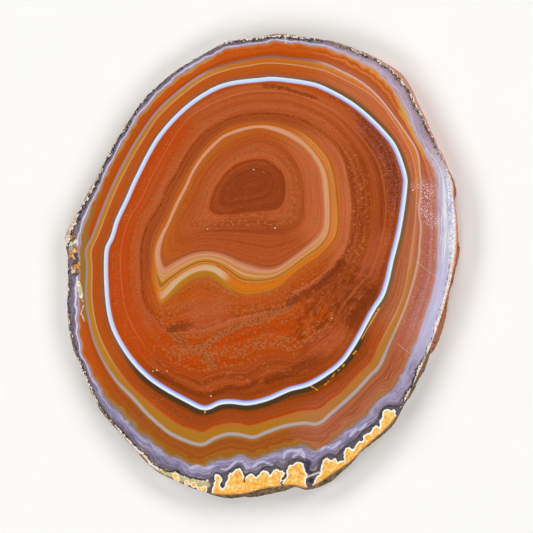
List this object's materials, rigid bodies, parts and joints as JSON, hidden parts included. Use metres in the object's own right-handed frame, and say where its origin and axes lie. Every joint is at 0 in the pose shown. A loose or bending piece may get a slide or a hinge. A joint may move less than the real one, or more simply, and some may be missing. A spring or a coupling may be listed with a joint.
{
  "type": "agate slab",
  "caption": "Flat polished slice of banded agate with a rough natural rim, lying on its flat sawn back face.",
  "frame": {"origin": "under the middle of the slab's box, on the flat back face that it lies on", "axes": "+Z out of the polished face, +Y along the longer side (up in the picture), +X to the picture's right"},
  "size_m": [0.1221, 0.1415, 0.007],
  "materials": {
    "agate": "polished, with a rough natural rim"
  },
  "bodies": {
    "root": {"agate_slab": "agate"}
  },
  "joints": []
}
